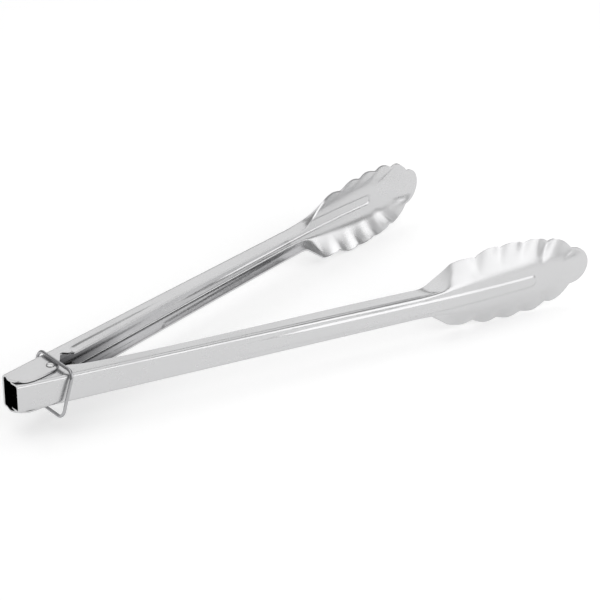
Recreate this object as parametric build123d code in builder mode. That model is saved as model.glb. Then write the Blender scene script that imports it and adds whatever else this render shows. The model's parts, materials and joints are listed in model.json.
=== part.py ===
"""Spring-loaded kitchen tongs: two pressed steel arms on one rivet, a torsion spring and a locking ring.

Row frame: the origin is on the hinge pin at mid-height, +X runs along the middle to the tips,
+Z is up along the pin, and the outer arm is on the +Y side. The tongs rest fully open.
Each arm is drawn straight, with +X to its tip and +Y away from the other arm, then turned open.
"""
import math
import os

from build123d import *

os.makedirs("parts", exist_ok=True)

# ---- driving sizes, mm and degrees ----
SHEET = 0.9  # thickness of the pressed steel
PIN_TO_TIP = 285.5
PIN_TO_TAIL = 19.5
OPEN_ANGLE = 25.6  # between the two arms at rest
WEB_OFFSET = 10.8  # from the pin's axis to an arm's back

CHANNEL_HEIGHT = 13.8  # of the inner arm at the hinge
NECK_HEIGHT = 12.1  # of both arms where the head begins
BEND = 2.2  # outer radius of the channel's folds
EAR_GAP = 0.2  # between the nested ears
EAR_INSET = 0.9  # the inner arm's ear is this much smaller all round
EAR_TAIL = 21.2  # from the pin to the rounded end of the outer arm's ear
EAR_ROOM = 6.5  # between an ear's far edge and the back of the other arm when shut
CLOSED_GAP = 0.3  # left between the two heads when the tongs are shut

HEAD_LENGTH = 99.5  # from the end of the straight channel to the tip
HEAD_HALF = 20.6  # half width over the widest scallop

BEAD_START = 86.0
BEAD_END = 251.0
BEAD_WIDTH = 6.0
BEAD_HEIGHT = 0.8

PANEL_START = 13.0
PANEL_END = 95.0
PANEL_LINE = 5.1  # from the pin's axis to the pressed panel's long edge
PANEL_DEPTH = 0.45

PIN_RADIUS = 1.3
PIN_CLEARANCE = 0.05
PIN_HEAD_RADIUS = 2.0
PIN_HEAD_HEIGHT = 0.7
PIN_HEAD_GAP = 0.1

SPRING_WIRE = 1.3
COIL_RADIUS = 4.2
COIL_TURNS = 3  # whole turns, besides the part turn between the two legs
COIL_PITCH = 1.7
SPRING_LEG = 24.0  # how far along the arm a leg reaches
SPRING_GAP = 0.15  # from a leg to the arm it pushes

RING_WIRE = 1.6
RING_SIDE_SLACK = 2.2  # on each side, with the tongs shut
RING_HEIGHT_SLACK = 4.7
RING_CORNER = 3.6  # at the middle of the wire
RING_TILT = 17.0
RING_SHIFT = 0.2  # the loose ring hangs a little towards the outer arm
RING_LIFT = 0.25  # from the outer arm's ear to the wire above it
RING_STAND_OFF = 0.35  # from the rivet's head to the wire in front of it

# ---- sizes that follow from them ----
HALF_OPEN = OPEN_ANGLE / 2
INNER_HALF = CHANNEL_HEIGHT / 2
OUTER_HALF = INNER_HALF + EAR_GAP + SHEET
NECK_HALF = NECK_HEIGHT / 2
NECK = PIN_TO_TIP - HEAD_LENGTH
WEB_INSIDE = WEB_OFFSET - SHEET
EAR_DROP = WEB_OFFSET - EAR_ROOM  # from the pin to the ear's far edge
RING_INSIDE_WIDTH = 2 * (WEB_OFFSET + RING_SIDE_SLACK)
RING_INSIDE_HEIGHT = 2 * OUTER_HALF + RING_HEIGHT_SLACK
RIM = SHEET + CLOSED_GAP / 2 + 0.4  # outside face of a head's rim, from the middle plane

# ---- the head: each row starts with the distance back from the tip ----
# Scallop crests and the notches between them, as shares of HEAD_HALF.
FLARE_END = (81.5, 0.80)
CRESTS = [(75.0, 0.87), (59.3, 0.985), (45.5, 1.0), (31.4, 0.955), (17.6, 0.79)]
NOTCHES = [(67.2, 0.83), (52.5, 0.93), (38.5, 0.915), (24.5, 0.80), (10.0, 0.475)]
# Cross-sections: height of the arm's back over the rim as a share of the neck's, half width of the
# flat, half width at the rim, rim's rise, fold radius.
HEAD_STATIONS = [
    (99.5, 1.0, NECK_HALF, NECK_HALF, 0.6, BEND),
    (93.0, 1.0, NECK_HALF, 8.8, 0.9, 2.8),
    (86.0, 0.9893, 6.2, 13.6, 1.2, 4.0),
    (78.0, 0.9679, 6.6, 17.6, 1.4, 6.5),
    (65.0, 0.9037, 7.4, 19.3, 0.7, 10.0),
    (50.0, 0.8075, 8.0, 20.5, 0.2, 12.0),
    (35.0, 0.6684, 8.0, 20.0, 0.1, 13.0),
    (23.0, 0.4866, 7.2, 17.6, 0.1, 13.0),
    (12.0, 0.262, 5.8, 14.0, 0.1, 13.0),
    (4.0, 0.0695, 4.4, 11.0, 0.1, 13.0),
    (-2.0, -0.0053, 3.6, 9.0, 0.1, 13.0),
]
RIM_SPARE = 2.2  # sheet beyond the rim, cut away by the scalloped outline


def cross_plane(x):
    """Plane across an arm at x: its own x is the row's Y and its own y is the row's Z."""
    return Plane(origin=(x, 0, 0), x_dir=(0, 1, 0), z_dir=(1, 0, 0))


def back_offset(share):
    """Offset of the arm's outer face where it stands this share of its full height over the rim."""
    return RIM + (WEB_OFFSET - RIM) * share


def channel_half(x, hinge_half):
    """Half height of the straight channel, which narrows from the hinge to the neck."""
    return hinge_half + (NECK_HALF - hinge_half) * x / NECK


def folded_strip(x, back, flat, rim_half, rim, bend):
    """Cross-section of the sheet at x, folded down on both sides of the arm's back."""
    with BuildSketch(cross_plane(x)) as section:
        with BuildLine():
            fold = Polyline((rim, rim_half), (back, flat), (back, -flat), (rim, -rim_half))
            fillet(fold.vertices()[1:3], radius=bend)
            offset(amount=SHEET, side=Side.RIGHT)
        make_face()
    return section.sketch


def head_sections():
    """Sections from the neck to just past the tip, with spare sheet beyond the rim."""
    sections = []
    for from_tip, share, flat, rim_half, rise, bend in HEAD_STATIONS:
        back = back_offset(share)
        rim = RIM + rise
        spread = rim_half - flat
        slope = min((back - rim) / spread, 1.2) if spread else 0.0
        spare = RIM_SPARE if spread else 0.0
        x = PIN_TO_TIP - from_tip
        sections.append(folded_strip(x, back, flat, rim_half + spare, rim - spare * slope, bend))
    return sections


def head_outline():
    """Scalloped outline of a head, seen square to the arm's back."""
    notches = [(PIN_TO_TIP - back, HEAD_HALF * share) for back, share in [FLARE_END] + NOTCHES]
    crests = [(PIN_TO_TIP - back, HEAD_HALF * share) for back, share in CRESTS]
    with BuildSketch(Plane.XZ.offset(-CLOSED_GAP / 2)) as outline:
        with BuildLine():
            for side in (1, -1):
                Polyline(
                    (NECK, side * NECK_HALF),
                    (NECK + 4, side * (NECK_HALF + 0.8)),
                    (notches[0][0], side * notches[0][1]),
                )
                for first, crest, last in zip(notches, crests, notches[1:]):
                    points = [(x, side * half) for x, half in (first, crest, last)]
                    ThreePointArc(*points)
            ThreePointArc(notches[-1], (PIN_TO_TIP, 0), (notches[-1][0], -notches[-1][1]))
            Line((NECK, NECK_HALF), (NECK, -NECK_HALF))
        make_face()
    return outline.sketch


def back_band(low, high):
    """Side view of a strip that follows the arm's back, between two offsets from its outer face."""
    route = [(BEAD_START - 5, WEB_OFFSET)]
    route += [(PIN_TO_TIP - station[0], back_offset(station[1])) for station in HEAD_STATIONS[:-1]]
    with BuildSketch(Plane.XY) as band:
        with BuildLine():
            lower = Spline([(x, y + low) for x, y in route])
            upper = Spline([(x, y + high) for x, y in route])
            Line(lower @ 0, upper @ 0)
            Line(lower @ 1, upper @ 1)
        make_face()
    return band.sketch


def bead(low, high, inset):
    """Round-ended rib that follows the arm's back."""
    length = BEAD_END - BEAD_START - 2 * inset
    with BuildPart() as rib:
        extrude(back_band(low, high), amount=BEAD_WIDTH, both=True)
        with BuildSketch(Plane.XZ.offset(-2 * WEB_OFFSET)):
            with Locations(((BEAD_START + BEAD_END) / 2, 0)):
                SlotOverall(length, BEAD_WIDTH - 2 * inset)
        extrude(amount=2 * WEB_OFFSET, mode=Mode.INTERSECT)
    return rib.part


def side_profile(inset, notch, free_edge):
    """Side view of an arm's channel: the ear round the pin, then the flange's free edge."""
    tail = EAR_TAIL - inset
    drop = EAR_DROP - inset
    with BuildSketch(Plane.XY) as profile:
        with BuildLine():
            Line((NECK, 2 * WEB_OFFSET), (-PIN_TO_TAIL, 2 * WEB_OFFSET))
            Line((-PIN_TO_TAIL, 2 * WEB_OFFSET), (-PIN_TO_TAIL, WEB_OFFSET))
            ThreePointArc((-PIN_TO_TAIL, WEB_OFFSET), (-tail, 0.35 * WEB_OFFSET), (3.5 - tail, 2.4 - drop))
            ThreePointArc((3.5 - tail, 2.4 - drop), (7.8 - tail, 0.6 - drop), (12.5 - tail, -drop))
            Line((12.5 - tail, -drop), (-2.5, -drop))
            ThreePointArc((-2.5, -drop), (2.4, 1.9 - drop), (6.8 - inset, 4.9 - drop))
            Polyline((6.8 - inset, 4.9 - drop), *notch)
            Spline([notch[-1]] + free_edge + [(NECK, RIM + HEAD_STATIONS[0][4])])
            Line((NECK, RIM + HEAD_STATIONS[0][4]), (NECK, 2 * WEB_OFFSET))
        make_face()
    return profile.sketch


def channel(hinge_half, inset, notch, free_edge):
    """Straight channel of an arm with its two ears."""
    ends = []
    for x in (-EAR_TAIL - 1, NECK):
        half = channel_half(x, hinge_half)
        ends.append(folded_strip(x, WEB_OFFSET, half, half, -EAR_DROP - 1, BEND))
    with BuildPart() as body:
        loft(ends)
        outline = side_profile(inset, notch, free_edge)
        extrude(outline, amount=2 * hinge_half, both=True, mode=Mode.INTERSECT)
        Cylinder(PIN_RADIUS + PIN_CLEARANCE, 4 * hinge_half, mode=Mode.SUBTRACT)
    return body.part


def straight_arm(hinge_half, inset, notch, free_edge):
    """One arm, drawn straight, with its head and its stiffening bead."""
    with BuildPart() as arm:
        loft(head_sections())
        extrude(head_outline(), amount=-2 * WEB_OFFSET, mode=Mode.INTERSECT)
        add(channel(hinge_half, inset, notch, free_edge))
        add(bead(-SHEET / 2, BEAD_HEIGHT, 0))
        add(bead(-3 * SHEET, BEAD_HEIGHT - SHEET, SHEET), mode=Mode.SUBTRACT)
    return arm.part


# ---- inner arm: its ears nest between the outer arm's ears ----
inner_notch = [(7.5, 1.2)]
inner_edge = [(15, 2.7), (26, 3.4), (50, 3.9), (98, 3.4), (149, 2.2)]
inner_straight = straight_arm(INNER_HALF, EAR_INSET, inner_notch, inner_edge)
with BuildPart() as inner_arm:
    add(mirror(inner_straight, about=Plane.XZ, mode=Mode.PRIVATE), rotation=(0, 0, -HALF_OPEN))

# ---- outer arm: a panel is pressed into each of its flanges beyond the ears ----
outer_notch = [(10.9, 4.4), (12.2, 4.2), (13.6, 2.0), (16.5, 0.8)]
outer_edge = [(34, 1.1), (62, 1.9), (95, 2.3)]
with BuildPart() as outer_straight:
    add(straight_arm(OUTER_HALF, 0, outer_notch, outer_edge))
    for side in (1, -1):
        for high, low, mode in ((2 * SHEET, 0, Mode.SUBTRACT), (-SHEET, -SHEET, Mode.ADD)):
            ends = []
            for x, depth in ((PANEL_START, PANEL_DEPTH), (PANEL_END, 0.02)):
                top = channel_half(x, OUTER_HALF) + high
                base = channel_half(x, OUTER_HALF) + low - depth
                with BuildSketch(cross_plane(x)) as end:
                    Polygon(
                        (EAR_DROP / 4, side * top),
                        (PANEL_LINE, side * top),
                        (PANEL_LINE, side * base),
                        (EAR_DROP / 4, side * base),
                        align=None,
                    )
                ends.append(end.sketch)
            loft(ends, mode=mode)
with BuildPart() as outer_arm:
    add(outer_straight.part, rotation=(0, 0, HALF_OPEN))

# ---- rivet: its shaft runs through all four ears ----
head_under = OUTER_HALF + PIN_HEAD_GAP
head_top = head_under + PIN_HEAD_HEIGHT
with BuildPart() as hinge_rivet:
    with BuildSketch(Plane.XZ):
        with BuildLine():
            Line((0, -head_top), (0, head_top))
            for side in (1, -1):
                ThreePointArc(
                    (0, side * head_top),
                    (0.6 * PIN_HEAD_RADIUS, side * (head_top - 0.22 * PIN_HEAD_HEIGHT)),
                    (PIN_HEAD_RADIUS, side * head_under),
                )
                Line((PIN_HEAD_RADIUS, side * head_under), (PIN_RADIUS, side * head_under))
            Line((PIN_RADIUS, -head_under), (PIN_RADIUS, head_under))
        make_face()
    revolve(axis=Axis.Z)

# ---- torsion spring: a coil round the rivet, with one leg against the back of each arm ----
leg_offset = WEB_INSIDE - SPRING_GAP - SPRING_WIRE / 2
leg_reach = math.hypot(SPRING_LEG, leg_offset)
leg_length = math.sqrt(leg_reach**2 - COIL_RADIUS**2)
leg_turn = math.atan2(leg_offset, SPRING_LEG) + math.acos(COIL_RADIUS / leg_reach)
leave_angle = HALF_OPEN + math.degrees(leg_turn)
coil_height = COIL_PITCH * (COIL_TURNS + (360 - 2 * leave_angle) / 360)
climb = COIL_PITCH / (2 * math.pi * COIL_RADIUS)
with BuildPart() as torsion_spring:
    with BuildLine() as wire:
        coil = Helix(COIL_PITCH, coil_height, COIL_RADIUS, center=(0, 0, -coil_height / 2))
        start_leg = Line(coil @ 0 - (coil % 0) * leg_length, coil @ 0)
        end_leg = Line(coil @ 1, coil @ 1 + (coil % 1) * leg_length)
    with BuildSketch(Plane(origin=start_leg @ 0, z_dir=start_leg % 0)):
        Circle(SPRING_WIRE / 2)
    sweep(path=wire.wires()[0], is_frenet=True)
with BuildPart() as torsion_spring_set:
    add(torsion_spring.part, rotation=(0, 0, leave_angle))

# ---- locking ring: a loop of wire that hangs on the arms and slides along them ----
loop_width = RING_INSIDE_WIDTH + RING_WIRE
loop_height = RING_INSIDE_HEIGHT + RING_WIRE
tilt = math.radians(RING_TILT)
ring_top = Vector(
    PIN_HEAD_RADIUS + RING_STAND_OFF + RING_WIRE / 2, RING_SHIFT, OUTER_HALF + RING_LIFT + RING_WIRE / 2
)
ring_down = Vector(-math.sin(tilt), 0, -math.cos(tilt))
ring_plane = Plane(
    origin=ring_top + ring_down * (loop_height / 2),
    x_dir=(0, 1, 0),
    z_dir=ring_down.cross(Vector(0, 1, 0)),
)
with BuildPart() as lock_ring:
    with BuildSketch(ring_plane, mode=Mode.PRIVATE) as loop:
        RectangleRounded(loop_width, loop_height, RING_CORNER)
    path = loop.sketch.faces()[0].outer_wire()
    with BuildSketch(Plane(origin=path @ 0, z_dir=path % 0)):
        Circle(RING_WIRE / 2)
    sweep(path=path, transition=Transition.ROUND)

pieces = {
    "outer_arm": outer_arm,
    "inner_arm": inner_arm,
    "hinge_rivet": hinge_rivet,
    "torsion_spring": torsion_spring_set,
    "lock_ring": lock_ring,
}
for name, piece in pieces.items():
    piece.part.label = name
    export_step(piece.part, f"parts/{name}.step")
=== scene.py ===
"""Looks of the spring-loaded kitchen tongs, in metres: pressed arms, rivet, spring and locking ring."""
import json
import math

import bmesh
import bpy
from mathutils import Matrix, Vector


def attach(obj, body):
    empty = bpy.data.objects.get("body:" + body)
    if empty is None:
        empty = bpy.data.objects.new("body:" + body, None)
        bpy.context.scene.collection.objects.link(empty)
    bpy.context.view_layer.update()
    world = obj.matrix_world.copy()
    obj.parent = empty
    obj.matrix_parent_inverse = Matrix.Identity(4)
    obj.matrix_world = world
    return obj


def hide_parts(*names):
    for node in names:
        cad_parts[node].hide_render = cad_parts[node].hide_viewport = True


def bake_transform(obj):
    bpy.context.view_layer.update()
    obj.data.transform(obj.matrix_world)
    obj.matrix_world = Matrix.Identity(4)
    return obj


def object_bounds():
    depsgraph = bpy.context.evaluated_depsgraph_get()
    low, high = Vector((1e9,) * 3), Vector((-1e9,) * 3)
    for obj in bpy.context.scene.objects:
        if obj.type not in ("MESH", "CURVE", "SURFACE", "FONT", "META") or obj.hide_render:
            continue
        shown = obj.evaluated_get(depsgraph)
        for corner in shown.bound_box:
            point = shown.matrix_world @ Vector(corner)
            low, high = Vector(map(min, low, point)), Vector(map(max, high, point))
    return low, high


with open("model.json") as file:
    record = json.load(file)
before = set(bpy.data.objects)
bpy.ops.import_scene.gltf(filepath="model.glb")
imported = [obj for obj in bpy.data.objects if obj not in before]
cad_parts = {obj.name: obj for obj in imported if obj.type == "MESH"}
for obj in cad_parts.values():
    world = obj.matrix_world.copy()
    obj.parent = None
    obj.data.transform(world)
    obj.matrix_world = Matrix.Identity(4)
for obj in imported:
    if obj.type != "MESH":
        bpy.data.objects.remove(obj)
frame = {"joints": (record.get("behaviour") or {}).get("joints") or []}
cad_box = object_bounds()

MM = 0.001
SHEET = 0.9 * MM
PIN_TO_TIP = 285.5 * MM
PIN_TO_TAIL = 19.5 * MM
WEB_OFFSET = 10.8 * MM  # outside face of an arm's back, from the middle plane of the closed tongs
RIM = 1.45 * MM  # outside face of a head's rim, from the same plane

INNER_HALF = 6.9 * MM
EAR_GAP = 0.2 * MM
OUTER_HALF = INNER_HALF + EAR_GAP + SHEET
NECK_HALF = 6.05 * MM
EAR_TAIL = 21.2 * MM
EAR_DROP = 4.3 * MM
EAR_INSET = 0.9 * MM
HINGE_FOLD = 2.0 * MM
NECK_FOLD = 2.5 * MM

HEAD_HALF = 20.59 * MM
NECK = PIN_TO_TIP - 99.5 * MM
FAN_CENTRE = PIN_TO_TIP - 15.0 * MM
TIP_RADIUS = 9.79 * MM
TIP_CENTRE = PIN_TO_TIP - TIP_RADIUS

BEAD_START = 86.0 * MM
BEAD_END = 251.0 * MM
BEAD_HEIGHT = 0.75 * MM
BEAD_SIDE = 1.7 * MM

PIN_RADIUS = 1.3 * MM
RING_WIRE = 0.8 * MM
RING_WIDTH, RING_HEIGHT, RING_CORNER = 27.6 * MM, 22.3 * MM, 3.6 * MM
RING_TILT = math.radians(17)
SPRING_WIRE = 0.65 * MM
COIL_RADIUS, COIL_PITCH, COIL_TURNS = 4.2 * MM, 1.7 * MM, 4
LEG_REACH = 24.0 * MM  # along the arm, from the pin to the end of a spring leg
LEG_GAP = 0.15 * MM
HEAD_GAP = 0.1 * MM  # under a rivet head


def mm(*values):
    return tuple(value * MM for value in values)


# Rim of a head: back from the tip, and its half width as a share of HEAD_HALF.
FLARE_END = (81.5, 0.80)
CRESTS = [(75.0, 0.87), (59.3, 0.985), (45.5, 1.0), (31.4, 0.955), (17.6, 0.79)]
NOTCHES = [(67.2, 0.83), (52.5, 0.93), (38.5, 0.915), (24.5, 0.80), (10.0, 0.475)]
# Press of a head: back from the tip, arm's back, half width of the flat and of the rim, rim's rise, fold.
HEAD_STATIONS = [
    (99.5, 10.8, 6.05, 6.05, 0.6, 2.2),
    (93.0, 10.8, 6.05, 8.8, 0.9, 2.8),
    (86.0, 10.7, 6.2, 13.6, 1.2, 4.0),
    (78.0, 10.5, 6.6, 17.6, 1.4, 6.5),
    (65.0, 9.9, 7.4, 19.3, 0.7, 10.0),
    (50.0, 9.0, 8.0, 20.5, 0.2, 12.0),
    (35.0, 7.7, 8.0, 20.0, 0.1, 13.0),
    (23.0, 6.0, 7.2, 17.6, 0.1, 13.0),
    (12.0, 3.9, 5.8, 14.0, 0.1, 13.0),
    (4.0, 2.0, 4.4, 11.0, 0.1, 13.0),
    (-2.0, 1.1, 3.6, 9.0, 0.1, 13.0),
]
WING_START = 193.0 * MM  # where the flanges have opened out into wings
# Rim of the neck before the first scallop: from the pin, half width.
FLARE = [(NECK, NECK_HALF), (NECK + 4 * MM, 6.95 * MM), (WING_START, 8.8 * MM)]
# Crease between a flange and its wing: from the pin, half width, height over the middle plane.
CREASE = [mm(186, 6.05, 6.6), mm(192, 6.15, 7.5), mm(197, 6.9, 8.2), mm(203, 11.8, 6.6), mm(209, 17, 2.95)]
CREASE_CUT = 1.0 * MM
FLUTES_FROM, FLUTES_FULL = 204.0 * MM, 218.0 * MM


# ---------------------------------------------------------------- curves
def mix(a, b, t):
    return a + (b - a) * t


def ease(t):
    """Smooth step that is 0 below 0 and 1 above 1."""
    t = min(max(t, 0.0), 1.0)
    return t * t * (3 - 2 * t)


def hermite(y0, y1, m0, m1, t):
    """Cubic from y0 to y1 with the slopes m0 and m1 at its ends."""
    start = y0 * (2 * t**3 - 3 * t**2 + 1) + m0 * (t**3 - 2 * t**2 + t)
    return start + y1 * (3 * t**2 - 2 * t**3) + m1 * (t**3 - t**2)


def through(points, x):
    """Smooth curve through (x, value...) rows, flat beyond both ends."""
    if x <= points[0][0]:
        return points[0][1:]
    if x >= points[-1][0]:
        return points[-1][1:]
    i = max(k for k, row in enumerate(points[:-1]) if row[0] <= x)
    x0, x1 = points[i][0], points[i + 1][0]
    before, after = points[max(i - 1, 0)], points[min(i + 2, len(points) - 1)]
    values = []
    for k in range(1, len(points[0])):
        y0, y1 = points[i][k], points[i + 1][k]
        m0 = (y1 - before[k]) / (x1 - before[0]) * (x1 - x0)
        m1 = (after[k] - y0) / (after[0] - x0) * (x1 - x0)
        if i == 0:
            m0 = y1 - y0
        values.append(hermite(y0, y1, m0, m1, (x - x0) / (x1 - x0)))
    return tuple(values)


def along(points, x):
    """Value on straight runs between (x, value) points."""
    for (x0, y0), (x1, y1) in zip(points, points[1:]):
        if x <= x1:
            return mix(y0, y1, max(x - x0, 0) / (x1 - x0))
    return points[-1][1]


def bow(first, crest, last, t):
    """Point on the arch that leaves first, touches crest half way and lands on last."""
    handle = 2 * crest - (first + last) / 2
    return first * (1 - t) ** 2 + handle * 2 * t * (1 - t) + last * t**2


def rounded(start, corner, end, cut, t):
    """Point t of the way round a corner that is rounded off by this much on both sides."""
    before = corner + (start - corner).normalized() * min(cut, 0.5 * (start - corner).length)
    after = corner + (end - corner).normalized() * min(cut, 0.5 * (end - corner).length)
    return before * (1 - t) ** 2 + corner * 2 * t * (1 - t) + after * t * t


def spaced(start, end, count):
    """This many even places from start on, without end."""
    return [mix(start, end, i / count) for i in range(count)]


# ---------------------------------------------------------------- shape of an arm
# An arm's outside face is a grid of points (x, p, z): x runs from the pin to the tip, p away from the other
# arm, and z across. Line s starts in the middle of the back and goes round the fold and down to the rim.
# Each zone has a point function that takes a place along the arm, s and the arm.
WEB_CELLS, FOLD_CELLS, FLANGE_CELLS, WING_CELLS = 14, 6, 7, 17
TOP_CELLS = WEB_CELLS + FOLD_CELLS
SIDE_CELLS = FLANGE_CELLS + WING_CELLS
HALF_CELLS = TOP_CELLS + SIDE_CELLS
CREASE_SHARE = 0.3  # share of a wing's cells that go round its crease


def rim_point(back, share):
    return Vector((PIN_TO_TIP - back * MM, share * HEAD_HALF))


STATIONS = [
    (PIN_TO_TIP - back * MM, spine * MM, flat * MM, rim_half * MM, RIM + rise * MM, fold * MM)
    for back, spine, flat, rim_half, rise, fold in HEAD_STATIONS
]
RIM_NOTCHES = [rim_point(*notch) for notch in [FLARE_END] + NOTCHES]
RIM_CRESTS = [rim_point(*crest) for crest in CRESTS]
FAN_START = RIM_NOTCHES[1].x
LOBES = len(RIM_CRESTS) - 1 + 0.5  # scallops beyond the fan's start; both sides share the last


class Arm:
    """Sizes that differ between the two arms: their flanges, ears and panels."""

    def __init__(self, hinge_half, inset, notch, edge, panel):
        self.hinge_half = hinge_half
        self.panel = panel  # start, end, height of its lower line, depth
        drop = EAR_DROP - inset
        tail = EAR_TAIL - inset
        # edge of the tail: share of the way down the side, x, p
        self.tail = [
            (0.0, -PIN_TO_TAIL, WEB_OFFSET - HINGE_FOLD),
            (0.4, -tail, 0.35 * WEB_OFFSET),
            (0.75, 3.5 * MM - tail, 2.4 * MM - drop),
            (1.0, 7.8 * MM - tail, 0.6 * MM - drop),
        ]
        self.corner = self.tail[-1][1]
        # lower edge of the ear: x, p
        self.ear = [
            (self.corner, 0.6 * MM - drop),
            (12.5 * MM - tail, -drop),
            (-2.5 * MM, -drop),
            (0.2 * MM, 0.55 * MM - drop),
            (2.6 * MM, 1.75 * MM - drop),
            (6.8 * MM - inset, 4.9 * MM - drop),
        ]
        # straight runs behind the ear, then the flange's free edge up to the neck: x, p
        self.notch = [self.ear[-1]] + notch
        self.join = notch[-1][0]
        self.edge = [notch[-1]] + edge + [(NECK, RIM + 0.6 * MM)]

    def half(self, x):
        """Half width of the channel."""
        return mix(self.hinge_half, NECK_HALF, x / NECK)

    def free_edge(self, x):
        """Height of the flange's free edge over the middle plane."""
        if x <= self.ear[-1][0]:
            return through(self.ear, x)[0]
        if x <= self.join:
            return along(self.notch, x)
        return through(self.edge, x)[0]

    def press(self, x, p):
        """Depth of the panel pressed into a flange: round-nosed at its start, fading out at its end."""
        if not self.panel:
            return 0.0
        start, end, line, depth = self.panel
        low = 1.0 * MM
        round_off = 1 - math.sqrt(max(1 - (max(p - low, 0.0) / (line - low)) ** 2, 0.0))
        nose = start + 7.0 * MM * round_off
        side = 1 - ease((p - line + 0.5 * MM) / (0.9 * MM))
        front = ease((x - nose) / (2.4 * MM) + 0.5)
        return depth * side * front * (1 - ease((x - start) / (end - start)))


def channel_fold(x):
    """Radius of the fold between a channel's back and its flanges."""
    return mix(HINGE_FOLD, NECK_FOLD, ease(x / NECK))


def head_section(x):
    """Back, flat, fold radius and the rim's (z, p) of the head at x."""
    back, flat, rim_half, rim, fold = through(STATIONS, x)
    return back, flat, max(fold, NECK_FOLD * (1 - ease((x - NECK) / (30 * MM)))), rim_half, rim


def fold_cut(flat, fold, turn):
    """Length that a fold of this radius takes from the flat beside it."""
    return min(fold * math.tan(turn / 2), 0.88 * flat)


def wing_height(x, z):
    """Outside face of the head over the plan point (x, z)."""
    back, flat, fold, rim_half, rim = head_section(x)
    turn = math.atan2(back - rim, rim_half - flat)
    cut = fold_cut(flat, fold, turn)
    if z < flat - cut:
        return back
    if z >= flat + cut * math.cos(turn):
        return back - (z - flat) * math.tan(turn)
    bend = math.cos(turn) - 1
    depth = z - flat + cut
    if abs(bend) < 1e-6:
        t = depth / (2 * cut)
    else:
        t = (-cut + math.sqrt(cut * cut + cut * bend * depth)) / (cut * bend)
    return back - cut * math.sin(turn) * t * t


def bead_rise(x, z):
    """Height of the stiffening bead over the arm's back."""
    half = through([(BEAD_START, 2.9 * MM), (NECK, 3.2 * MM), (BEAD_END, 2.7 * MM)], x)[0]
    beyond = max(BEAD_START + half - x, x - BEAD_END + half, 0.0)
    away = math.hypot(beyond, z)
    height = BEAD_HEIGHT * mix(0.3, 1.0, ease((x - BEAD_START) / (60 * MM)))
    return height * (1 - ease((away - half + BEAD_SIDE / 2) / BEAD_SIDE))


def flute(lobe, share):
    """Push of the flutes along p: lobe counts notches from the fan's start, share is 1 at the rim."""
    # in at the notches and out at the crests, longer and deeper from the third scallop on
    wave = 0.5 + 0.5 * math.cos(2 * math.pi * lobe)
    depth = (mix(0.7, 1.1, ease(lobe - 2)) - 0.1 * ease(lobe - 3)) * MM
    start = mix(0.5, 0.32, ease(lobe - 2))
    crest = 0.4 * MM * (1 - ease((lobe - 2.9) / 0.9))
    return (crest * (1 - wave) - depth * wave**1.5) * ease((share - start) / (1 - start))


def across(s, back, flat, cut, crease, crease_cut, rim):
    """(z, p) on line s of a folded section: back, fold, flange, crease and wing."""
    fold = Vector((flat, back))
    middle = Vector((0.0, back))
    if s <= WEB_CELLS:
        return Vector(((flat - cut) * s / WEB_CELLS, back))
    if s <= TOP_CELLS:
        return rounded(middle, fold, crease, cut, (s - WEB_CELLS) / FOLD_CELLS)
    top = rounded(middle, fold, crease, cut, 1.0)
    low = rounded(fold, crease, rim, crease_cut, 0.0)
    if s <= TOP_CELLS + FLANGE_CELLS:
        return top.lerp(low, (s - TOP_CELLS) / FLANGE_CELLS)
    t = (s - TOP_CELLS - FLANGE_CELLS) / WING_CELLS
    if t <= CREASE_SHARE:
        return rounded(fold, crease, rim, crease_cut, t / CREASE_SHARE)
    wing = rounded(fold, crease, rim, crease_cut, 1.0)
    return wing.lerp(rim, (t - CREASE_SHARE) / (1 - CREASE_SHARE))


def top_point(x, s, arm):
    """Point of the channel's back or fold."""
    half = arm.half(x)
    z, p = across(s, WEB_OFFSET, half, channel_fold(x), Vector((half, 0)), 0, Vector((half, -1)))
    return Vector((x, p + bead_rise(x, z), z))


def flange_point(place, arm):
    """Point of the flange at this (x, p)."""
    return Vector((place.x, place.y, arm.half(place.x) - arm.press(place.x, place.y)))


def ear_point(where, s, arm):
    """Point between the tail, where 0, and the end of the notch behind the ear, where 1."""
    x = mix(-PIN_TO_TAIL, arm.join, where)
    if s <= TOP_CELLS:
        return top_point(x, s, arm)
    share = (s - TOP_CELLS) / SIDE_CELLS
    top = WEB_OFFSET - channel_fold(x)
    foot = mix(arm.corner, arm.join, where)
    tail = Vector(through(arm.tail, share))
    join = Vector((arm.join, mix(top, arm.free_edge(arm.join), share)))
    upper = Vector((x, top))
    lower = Vector((foot, arm.free_edge(foot)))
    upper_chord = Vector(arm.tail[0][1:]).lerp(Vector((arm.join, top)), where)
    lower_chord = Vector(arm.tail[-1][1:]).lerp(Vector((arm.join, arm.free_edge(arm.join))), where)
    place = tail.lerp(join, where) + upper.lerp(lower, share) - upper_chord.lerp(lower_chord, share)
    return flange_point(place, arm)


def channel_point(x, s, arm):
    """Point between the notch and the neck."""
    if s <= TOP_CELLS:
        return top_point(x, s, arm)
    share = (s - TOP_CELLS) / SIDE_CELLS
    return flange_point(Vector((x, mix(WEB_OFFSET - channel_fold(x), arm.free_edge(x), share))), arm)


def neck_rim(x, flat):
    """Half width at the rim of the neck and of the first scallop."""
    if x < RIM_NOTCHES[0].x:
        half = through(FLARE + [tuple(RIM_NOTCHES[0])], x)[0]
    else:
        t = (x - RIM_NOTCHES[0].x) / (FAN_START - RIM_NOTCHES[0].x)
        half = bow(RIM_NOTCHES[0], RIM_CRESTS[0], RIM_NOTCHES[1], t).y
    return max(half, flat + 0.02 * MM)


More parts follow.
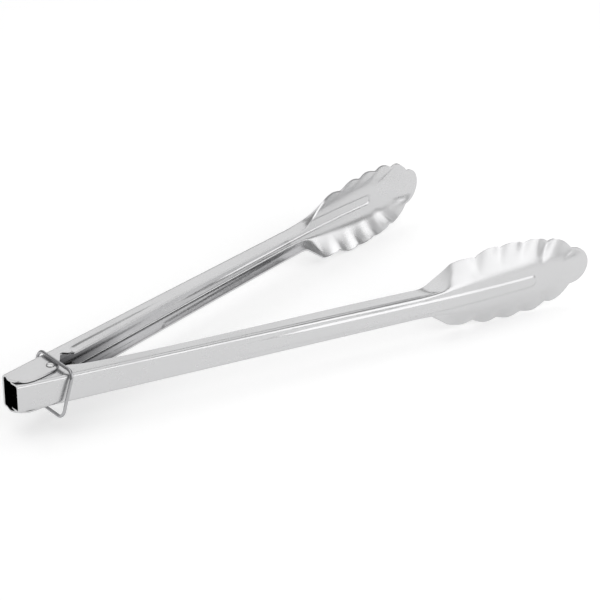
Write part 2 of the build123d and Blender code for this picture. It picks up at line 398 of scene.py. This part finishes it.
def neck_crease(x, fold, foot):
    """(z, p) of the crease between flange and wing, which runs out on the wing between fold and foot."""
    plain = fold.lerp(foot, 0.5)
    if x > CREASE[-1][0]:
        return plain
    crease = Vector(through(CREASE, x))
    wing = (foot - fold).normalized()
    beside = fold + wing * (crease - fold).dot(wing)
    crease = crease.lerp(beside, 0.45)
    fade_start, fade_end = CREASE[-2][0], CREASE[-1][0]
    return crease.lerp(plain, ease((x - fade_start) / (fade_end - fade_start)))


def neck_point(x, s, arm):
    """Point of the neck, where the flanges open out into the head's wings."""
    back, flat, fold, rim_half, rim = head_section(x)
    z_rim = neck_rim(x, flat)
    opened = ease((x - WING_START + 1 * MM) / (16 * MM))
    foot = Vector((z_rim, mix(rim, wing_height(max(x, WING_START), z_rim), opened)))
    turn = math.atan2(back - foot.y, foot.x - flat)
    crease = neck_crease(x, Vector((flat, back)), foot)
    z, p = across(s, back, flat, fold_cut(flat, fold, turn), crease, CREASE_CUT, foot)
    lobe = (x - FAN_START) / (15 * MM)
    growth = ease((x - FLUTES_FROM) / (FLUTES_FULL - FLUTES_FROM))
    p += bead_rise(x, z) + flute(lobe, z / z_rim) * growth
    return Vector((x, p, z))


def fan_point(where, s, arm):
    """Point of the fan of lines from the head's spine to its scallops; where counts scallops."""
    last = len(RIM_CRESTS) - 1
    lobe = min(int(where), last)
    t = where - lobe
    if lobe < last:
        rim = bow(RIM_NOTCHES[lobe + 1], RIM_CRESTS[lobe + 1], RIM_NOTCHES[lobe + 2], t)
    else:
        turn = mix(math.radians(-1.2), math.radians(90), 2 * t)
        rim = Vector((TIP_CENTRE + TIP_RADIUS * math.sin(turn), TIP_RADIUS * math.cos(turn)))
    spine = mix(FAN_START, FAN_CENTRE, where / LOBES)
    share = FAN_SHARES[s]
    x = mix(spine, rim.x, share**2)
    z = max(rim.y, 0.0) * share
    p = wing_height(x, z) + bead_rise(x, z) + flute(where, share)
    return Vector((x, max(p, RIM + 0.03 * MM), z))


FAN_ROOT = [neck_point(FAN_START, s, None).z for s in range(HALF_CELLS + 1)]
FAN_SHARES = [z / FAN_ROOT[-1] for z in FAN_ROOT]


def arm_lines(arm):
    """Every line across the arm from the tail to the tip: the zone's own point function, and its place."""
    bead_near, bead_far = BEAD_START - 1 * MM, BEAD_START + 5 * MM
    zones = (
        (ear_point, spaced(0, 1, 112)),
        (channel_point, spaced(arm.join, bead_near, 46)),
        (channel_point, spaced(bead_near, bead_far, 14)),
        (channel_point, spaced(bead_far, NECK, 60)),
        (neck_point, spaced(NECK, FAN_START, 56)),
        (fan_point, spaced(0, LOBES, 132) + [LOBES]),
    )
    return [(zone, place) for zone, places in zones for place in places]


# ---------------------------------------------------------------- pressed sheets
def finish_mesh(name, bm):
    """Object at the origin from a bmesh, shaded smooth."""
    mesh = bpy.data.meshes.new(name)
    for face in bm.faces:
        face.smooth = True
    bm.to_mesh(mesh)
    bm.free()
    obj = bpy.data.objects.new(name, mesh)
    bpy.context.scene.collection.objects.link(obj)
    return obj


def press_arm(name, arm, side, open_angle):
    """Pressed sheet of one arm; side is +1 for the arm on +Y and -1 for the other."""
    lines = arm_lines(arm)
    columns = 2 * HALF_CELLS
    bm = bmesh.new()
    bmesh.ops.create_grid(bm, x_segments=len(lines) - 1, y_segments=columns, size=1)
    turn = Matrix.Rotation(side * open_angle, 4, "Z")
    points = {}
    for vert in bm.verts:
        i = round((vert.co.x + 1) / 2 * (len(lines) - 1))
        j = round((vert.co.y + 1) / 2 * columns) - HALF_CELLS
        if (i, abs(j)) not in points:
            zone, place = lines[i]
            points[i, abs(j)] = zone(place, abs(j), arm)
        x, p, z = points[i, abs(j)]
        vert.co = turn @ Vector((x, side * p, z if j >= 0 else -z))
    bmesh.ops.remove_doubles(bm, verts=bm.verts, dist=1e-7)
    bmesh.ops.dissolve_degenerate(bm, dist=1e-7, edges=bm.edges)
    bmesh.ops.recalc_face_normals(bm, faces=bm.faces)
    outward = turn @ Vector((0, side, 0))
    if sum(face.normal.dot(outward) * face.calc_area() for face in bm.faces) < 0:
        bmesh.ops.reverse_faces(bm, faces=bm.faces)
    obj = finish_mesh(name, bm)
    sheet = obj.modifiers.new("sheet", "SOLIDIFY")
    sheet.thickness = SHEET
    sheet.offset = -1
    sheet.material_offset = 1
    edge = obj.modifiers.new("rolled_edge", "BEVEL")
    edge.width = 0.18 * MM
    edge.segments = 2
    edge.limit_method = "ANGLE"
    edge.angle_limit = math.radians(50)
    obj.modifiers.new("shading", "WEIGHTED_NORMAL")
    return obj


# ---------------------------------------------------------------- wire and rivet
def draw_out(bm, edges):
    """Extrude a ring of edges: the vertices and the edges of the new ring."""
    new = bmesh.ops.extrude_edge_only(bm, edges=edges)["geom"]
    verts = [item for item in new if isinstance(item, bmesh.types.BMVert)]
    sides = [item for item in new if isinstance(item, bmesh.types.BMEdge)]
    return verts, [edge for edge in sides if all(vert in verts for vert in edge.verts)]


class Wire:
    """Round wire drawn by runs and bends from a start point."""

    def __init__(self, start, heading, radius):
        self.bm = bmesh.new()
        self.place = Vector(start)
        self.heading = Vector(heading).normalized()
        ring = bmesh.ops.create_circle(self.bm, segments=20, radius=radius, cap_ends=False)["verts"]
        turn = self.heading.to_track_quat("Z", "Y").to_matrix()
        bmesh.ops.rotate(self.bm, verts=ring, cent=(0, 0, 0), matrix=turn)
        bmesh.ops.translate(self.bm, verts=ring, vec=self.place)
        self.first = list(self.bm.edges)
        self.end = self.first

    def run(self, length, steps=1):
        """Go straight on by length."""
        for _ in range(steps):
            verts, self.end = draw_out(self.bm, self.end)
            bmesh.ops.translate(self.bm, verts=verts, vec=self.heading * (length / steps))
        self.place = self.place + self.heading * length

    def bend(self, centre, axis, angle, steps, climb=0.0):
        """Turn about an axis through centre, moving on along it by climb in all."""
        axis = Vector(axis).normalized()
        made = bmesh.ops.spin(
            self.bm,
            geom=self.end,
            cent=centre,
            axis=axis,
            angle=angle,
            steps=steps,
            dvec=axis * (climb / steps),
            use_duplicate=False,
        )
        self.end = [item for item in made["geom_last"] if isinstance(item, bmesh.types.BMEdge)]
        turn = Matrix.Rotation(angle, 3, axis)
        self.place = turn @ (self.place - Vector(centre)) + Vector(centre) + axis * climb
        self.heading = turn @ self.heading

    def finish(self, name):
        bmesh.ops.remove_doubles(self.bm, verts=self.bm.verts, dist=1e-6)
        bmesh.ops.recalc_face_normals(self.bm, faces=self.bm.faces)
        return finish_mesh(name, self.bm)


def bend_lock_ring():
    """Loop of wire round both arms, from the middle of its top round to there again."""
    wire = Wire(Vector((3.15, 0.2, 9.05)) * MM, (0, 1, 0), RING_WIRE)
    inside = Vector((-math.sin(RING_TILT), 0, -math.cos(RING_TILT)))
    wide, high = RING_WIDTH - 2 * RING_CORNER, RING_HEIGHT - 2 * RING_CORNER
    wire.run(wide / 2)
    for straight in (high, wide, high, wide / 2):
        heading = wire.heading
        wire.bend(wire.place + inside * RING_CORNER, heading.cross(inside), math.pi / 2, 12)
        inside = -heading
        wire.run(straight)
    return wire.finish("lock_ring_wire")


def wind_spring_half(name, open_angle, turned_over):
    """Half of the torsion spring: the leg that lies on one arm, and its turns up to mid-height."""
    leg_offset = WEB_OFFSET - SHEET - LEG_GAP - SPRING_WIRE
    leg_end = math.hypot(LEG_REACH, leg_offset)
    leg_length = math.sqrt(LEG_REACH**2 + leg_offset**2 - COIL_RADIUS**2)
    leave = open_angle + math.atan2(leg_offset, LEG_REACH) + math.acos(COIL_RADIUS / leg_end)
    turn = (2 * math.pi * COIL_TURNS - 2 * leave) / 2
    climb = COIL_PITCH * turn / (2 * math.pi)
    slope = COIL_PITCH / (2 * math.pi * COIL_RADIUS)
    coil_start = Vector((COIL_RADIUS * math.cos(leave), COIL_RADIUS * math.sin(leave), -climb))
    heading = Vector((-math.sin(leave), math.cos(leave), slope)).normalized()
    wire = Wire(coil_start - heading * leg_length, heading, SPRING_WIRE)
    wire.run(leg_length, 12)
    wire.bend((0, 0, 0), (0, 0, 1), turn, 56, climb)
    bmesh.ops.holes_fill(wire.bm, edges=wire.first, sides=0)
    if turned_over:
        over = Matrix.Rotation(math.pi, 3, "X")
        bmesh.ops.rotate(wire.bm, verts=wire.bm.verts, cent=(0, 0, 0), matrix=over)
    return wire.finish(name), climb


def head_rivet():
    """Rivet: a shaft with a domed head at each end."""
    under = OUTER_HALF + HEAD_GAP
    # profile of a head: rise over its underside, radius
    rim = [mm(0, 1.9), mm(0.06, 2.0), mm(0.2, 1.96)]
    head = rim + [mm(0.38, 1.7), mm(0.52, 1.3), mm(0.63, 0.8), mm(0.7, 0.3)]
    bm = bmesh.new()
    bmesh.ops.create_circle(bm, segments=48, radius=PIN_RADIUS, cap_ends=False)
    bmesh.ops.translate(bm, verts=bm.verts, vec=(0, 0, -under))
    start = list(bm.edges)
    shaft = [(0.0, PIN_RADIUS)]
    for way, rows in ((1, shaft + head), (-1, head)):
        end, height, radius = start, -under, PIN_RADIUS
        for rise, size in rows:
            level = way * (under + rise)
            verts, end = draw_out(bm, end)
            bmesh.ops.translate(bm, verts=verts, vec=(0, 0, level - height))
            bmesh.ops.scale(bm, verts=verts, vec=(size / radius, size / radius, 1))
            height, radius = level, size
        bmesh.ops.holes_fill(bm, edges=end, sides=0)
    bmesh.ops.recalc_face_normals(bm, faces=bm.faces)
    return finish_mesh("rivet", bm)


# ---------------------------------------------------------------- pieces
hinge = next(joint for joint in frame["joints"] if joint["name"] == "outer_arm_hinge")
half_open = math.radians(hinge["range_deg"][1])

inner_shape = Arm(
    hinge_half=INNER_HALF,
    inset=EAR_INSET,
    notch=[mm(7.5, 1.2)],
    edge=[mm(15, 2.7), mm(26, 3.4), mm(50, 3.9), mm(98, 3.4), mm(149, 2.2)],
    panel=None,
)
outer_shape = Arm(
    hinge_half=OUTER_HALF,
    inset=0.0,
    notch=[mm(10.9, 4.4), mm(12.2, 4.2), mm(13.6, 2.0), mm(16.5, 0.8)],
    edge=[mm(34, 1.1), mm(62, 1.9), mm(95, 2.3)],
    panel=mm(16, 95, 5.1, 0.6),
)
outer_arm = press_arm("outer_arm_sheet", outer_shape, 1, half_open)
inner_arm = press_arm("inner_arm_sheet", inner_shape, -1, half_open)
lock_ring = bend_lock_ring()
spring_outer, half_climb = wind_spring_half("spring_outer_half", half_open, False)
spring_inner, half_climb = wind_spring_half("spring_inner_half", half_open, True)
rivet = head_rivet()

for obj, body, node, slot in (
    (outer_arm, "outer_arm", "outer_arm", "pressed_steel"),
    (inner_arm, "inner_arm", "inner_arm", "pressed_steel"),
    (rivet, "rivet", "hinge_rivet", "rivet_steel"),
    (lock_ring, "lock_ring", "lock_ring", "ring_wire"),
):
    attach(obj, body)
    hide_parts(node)
-half_climb
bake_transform(spring_outer)
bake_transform(spring_inner)
for half in (spring_outer, spring_inner):
    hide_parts("torsion_spring")


# ---------------------------------------------------------------- steel
class Value:
    """Socket of a node tree that can be added, multiplied and so on."""

    def __init__(self, tree, socket):
        self.tree = tree
        self.socket = socket

    @classmethod
    def node(cls, tree, kind, inputs, output=0, **settings):
        """Output of a new node of this kind: its settings come first, then its values and links."""
        node = tree.nodes.new(kind)
        for name, setting in settings.items():
            setattr(node, name, setting)
        for key, value in inputs.items():
            if isinstance(value, Value):
                tree.links.new(value.socket, node.inputs[key])
            else:
                node.inputs[key].default_value = value
        return cls(tree, node.outputs[output])

    def math(self, operation, a, b):
        return self.node(self.tree, "ShaderNodeMath", {0: a, 1: b}, operation=operation)

    def __add__(self, other):
        return self.math("ADD", self, other)

    def __radd__(self, other):
        return self.math("ADD", other, self)

    def __sub__(self, other):
        return self.math("SUBTRACT", self, other)

    def __rsub__(self, other):
        return self.math("SUBTRACT", other, self)

    def __mul__(self, other):
        return self.math("MULTIPLY", self, other)

    def __rmul__(self, other):
        return self.math("MULTIPLY", other, self)

    def map(self, low, high, to_low, to_high):
        """This value's range low..high, stretched to the new one and held at its ends."""
        ends = {"From Min": low, "From Max": high, "To Min": to_low, "To Max": to_high}
        return self.node(self.tree, "ShaderNodeMapRange", {"Value": self, **ends})


STEEL = (0.61, 0.61, 0.615)
# dark colour painted as shade on the inside faces of the channels by the hinge; the steel there is the same
# steel
HINGE_PAINTED_SHADE = (0.13, 0.13, 0.135)
SHEET_GRAIN = (6, 260, 260)
WIRE_GRAIN = (200, 200, 200)
RING_GRAIN = (60, 60, 60)
MIX_A, MIX_B, MIX_RESULT = 6, 7, 2  # places of a Mix node's colour sockets


def steel(name, colour, rough, grain, arm_turn=0.0, hinge_shade_colour=None):
    """Stainless steel, drawn along its own length, with faint marks of handling.

    arm_turn is the angle that an arm is turned by, and the hinge colour is a dark colour painted as shade
    on the inside faces, darkest by the hinge.
    """
    material = bpy.data.materials.new(name)
    material.use_nodes = True
    tree = material.node_tree
    shader = tree.nodes["Principled BSDF"]
    shader.inputs["Base Color"].default_value = (*colour, 1)
    shader.inputs["Metallic"].default_value = 1.0

    place = Value.node(tree, "ShaderNodeTexCoord", {}, "Object")
    straight = Value.node(tree, "ShaderNodeMapping", {"Vector": place, "Rotation": (0, 0, -arm_turn)})
    drawn = Value.node(tree, "ShaderNodeMapping", {"Vector": straight, "Scale": grain})

    def noise(vector, scale, detail):
        inputs = {"Vector": vector, "Scale": scale, "Detail": detail}
        return Value.node(tree, "ShaderNodeTexNoise", inputs)

    lines = noise(drawn, 4.0, 5.0)
    waves = noise(drawn, 0.18, 1.0)
    patches = noise(straight, 38.0, 3.0)
    specks = noise(straight, 420.0, 2.0)
    marks = {"Height": lines + specks * 0.4, "Strength": 0.02, "Distance": 0.2 * MM}
    bump = Value.node(tree, "ShaderNodeBump", marks)
    sway = {"Height": waves, "Strength": 0.5, "Distance": 0.6 * MM, "Normal": bump}
    tree.links.new(Value.node(tree, "ShaderNodeBump", sway).socket, shader.inputs["Normal"])

    roughness = rough + (lines - 0.5) * 0.06
    roughness = roughness + patches.map(0.35, 0.7, -0.03, 0.05) + specks.map(0.6, 0.8, 0, 0.05)
    if arm_turn:
        # the heads are tumbled to a satin finish, and the channels are left bright
        length = Value.node(tree, "ShaderNodeSeparateXYZ", {"Vector": straight})
        head = length.map(0.185, 0.215, 0, 1)
        roughness = roughness + head * 0.12
        if hinge_shade_colour:
            # painted shade: the inside faces take the dark colour fully at the hinge end, fade to a slight
            # darkening by 60 mm from the pin, and keep it along the channel up to the head
            unshaded_share = length.map(0.012, 0.060, 0, 0.85) + head * 0.15
            ends = {"Factor": unshaded_share, MIX_A: (*hinge_shade_colour, 1), MIX_B: (*colour, 1)}
            shade = Value.node(tree, "ShaderNodeMix", ends, MIX_RESULT, data_type="RGBA")
            tree.links.new(shade.socket, shader.inputs["Base Color"])
    tree.links.new(roughness.socket, shader.inputs["Roughness"])
    return material


for obj, name, turn in ((outer_arm, "outer_arm", half_open), (inner_arm, "inner_arm", -half_open)):
    obj.data.materials.append(steel(name + "_steel", STEEL, 0.24, SHEET_GRAIN, turn))
    # inside faces: the same steel with painted shade, darkest by the hinge
    obj.data.materials.append(steel(name + "_inside_painted_shade", STEEL, 0.17, SHEET_GRAIN, turn, HINGE_PAINTED_SHADE))
lock_ring.data.materials.append(steel("ring_steel", (0.42, 0.42, 0.43), 0.12, RING_GRAIN))
rivet.data.materials.append(steel("rivet_steel", (0.70, 0.70, 0.70), 0.14, WIRE_GRAIN))
spring_steel = steel("spring_steel", (0.42, 0.41, 0.40), 0.34, WIRE_GRAIN)
for half in (spring_outer, spring_inner):
    half.data.materials.append(spring_steel)


# ---------------------------------------------------------------- floor, light and camera
MIDDLE = Vector((0.138, 0, 0))
FLOOR_GAP = 0.2 * MM


def lay_floor():
    """Matt white floor, just under the tongs, that gives a little light of its own."""
    bm = bmesh.new()
    bmesh.ops.create_grid(bm, x_segments=1, y_segments=1, size=4)
    bmesh.ops.translate(bm, verts=bm.verts, vec=(MIDDLE.x, 0, cad_box[0][2] - FLOOR_GAP))
    material = bpy.data.materials.new("floor_white")
    material.use_nodes = True
    inputs = material.node_tree.nodes["Principled BSDF"].inputs
    inputs["Base Color"].default_value = (0.85, 0.85, 0.85, 1)
    inputs["Roughness"].default_value = 0.9
    inputs["Specular IOR Level"].default_value = 0.1
    inputs["Emission Color"].default_value = (0.85, 0.85, 0.85, 1)
    inputs["Emission Strength"].default_value = 0.41
    floor = finish_mesh("floor", bm)
    floor.data.materials.append(material)


def hang_light(name, place, size, power):
    """Soft box of light that faces the middle of the tongs; power is in watts."""
    light = bpy.data.lights.new(name, "AREA")
    light.shape = "RECTANGLE"
    light.size, light.size_y = size
    light.energy = power
    obj = bpy.data.objects.new(name, light)
    obj.location = place
    obj.rotation_euler = (MIDDLE - Vector(place)).to_track_quat("-Z", "Y").to_euler()
    bpy.context.scene.collection.objects.link(obj)


lay_floor()
hang_light("overhead", (0.0, 0.1, 0.95), (1.6, 1.2), 4.8)
hang_light("front_box", (0.42, -1.0, 0.52), (1.1, 0.9), 4.1)
hang_light("right_box", (1.05, -0.50, 0.50), (0.8, 0.5), 1.8)
hang_light("back_box", (0.87, 0.90, 0.59), (1.2, 0.6), 1.7)

scene = bpy.context.scene
scene.view_settings.view_transform = "Standard"
scene.world = bpy.data.worlds.new("room")
scene.world.use_nodes = True
room = scene.world.node_tree.nodes["Background"].inputs
room["Color"].default_value = (1, 1, 1, 1)
room["Strength"].default_value = 0.33

AZIMUTH, ELEVATION, ROLL = (math.radians(angle) for angle in (-39.277, 26.931, 0.376))
DISTANCE = 1.0058
AIM = Vector((0.138075, -0.007424, 0))
level = math.cos(ELEVATION)
back = Vector((math.sin(AZIMUTH) * level, -math.cos(AZIMUTH) * level, math.sin(ELEVATION)))
right = (-back).cross(Vector((0, 0, 1))).normalized()
up = back.cross(right)
across_view = right * math.cos(ROLL) + up * math.sin(ROLL)
up_view = up * math.cos(ROLL) - right * math.sin(ROLL)
view_turn = Matrix((across_view, up_view, back)).transposed().to_4x4()
camera = bpy.data.objects.new("camera", bpy.data.cameras.new("camera"))
camera.data.lens = 124.6
camera.data.sensor_width = 36
camera.matrix_world = Matrix.Translation(AIM + back * DISTANCE) @ view_turn
scene.collection.objects.link(camera)
scene.camera = camera
